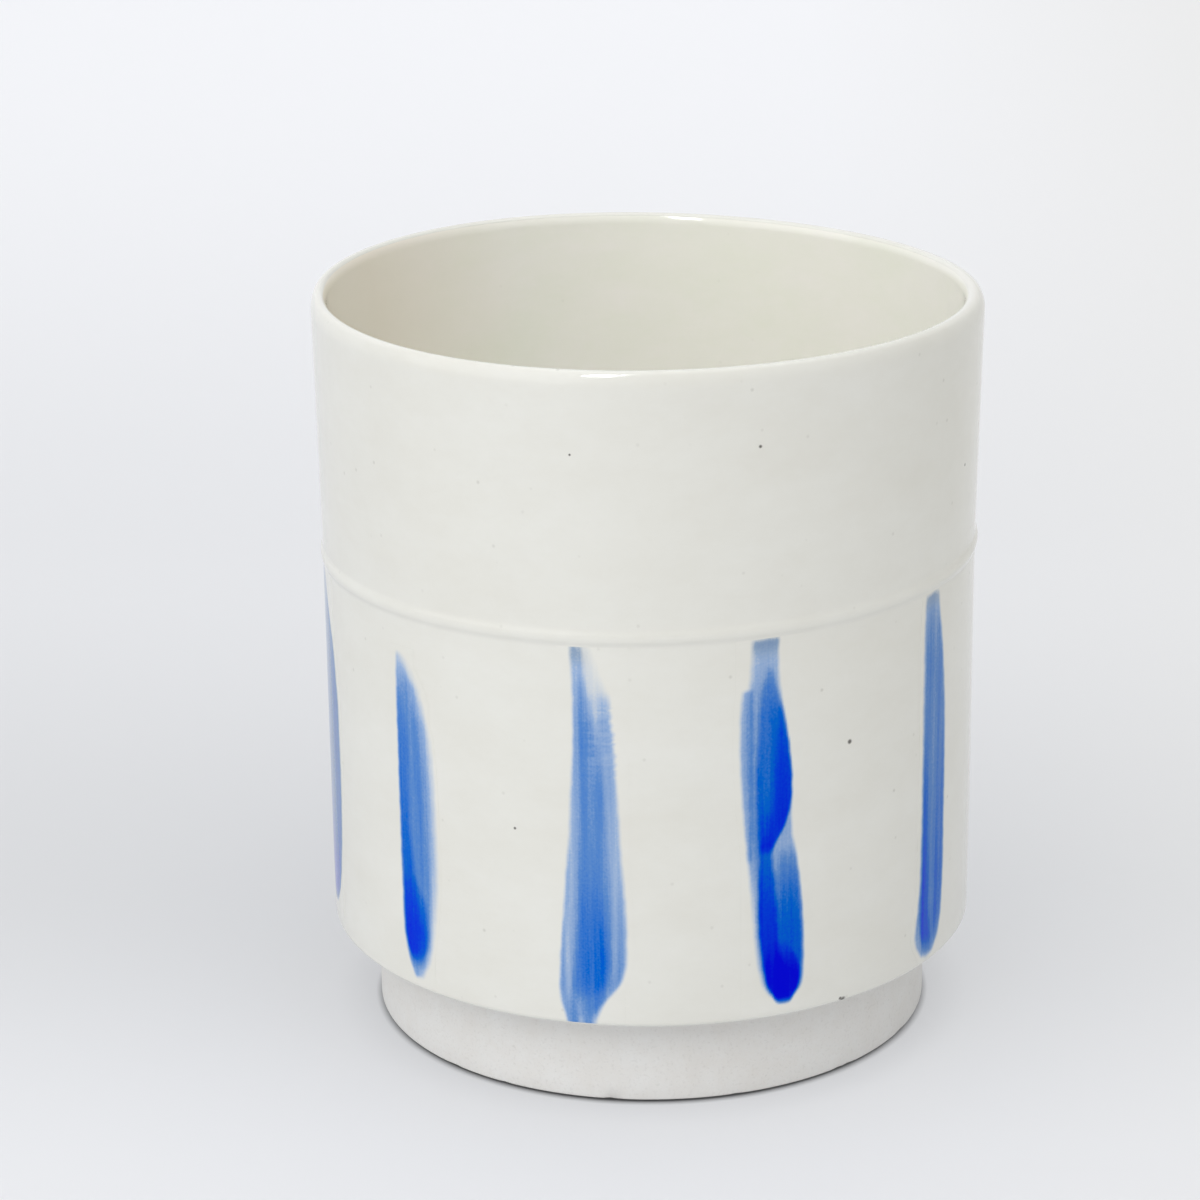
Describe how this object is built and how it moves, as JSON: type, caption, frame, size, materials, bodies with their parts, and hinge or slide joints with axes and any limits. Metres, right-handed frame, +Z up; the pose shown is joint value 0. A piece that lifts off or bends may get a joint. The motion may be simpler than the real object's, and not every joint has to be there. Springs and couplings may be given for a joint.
{
  "type": "stacking mug",
  "caption": "Handleless round mug for coffee or tea: flared thin lip, raised bead, cobalt brush strokes, and a stepped foot that nests in the lip of the mug below.",
  "frame": {"origin": "on the table, under the middle of the foot", "axes": "+Z up along the mug's axis, -Y to the front"},
  "size_m": [0.08, 0.08, 0.0905],
  "materials": {
    "bare_stoneware": "matte",
    "liner_glaze": "gloss",
    "outer_glaze": "gloss",
    "cobalt_wash": "gloss"
  },
  "bodies": {
    "root": {"clay_body": "bare_stoneware", "liner_glaze": "liner_glaze", "outer_glaze": "outer_glaze", "brush_stroke_01": "cobalt_wash", "brush_stroke_02": "cobalt_wash", "brush_stroke_03": "cobalt_wash", "brush_stroke_04": "cobalt_wash", "brush_stroke_05": "cobalt_wash", "brush_stroke_06": "cobalt_wash", "brush_stroke_07": "cobalt_wash", "brush_stroke_08": "cobalt_wash", "brush_stroke_09": "cobalt_wash", "brush_stroke_10": "cobalt_wash", "brush_stroke_11": "cobalt_wash"}
  },
  "joints": []
}
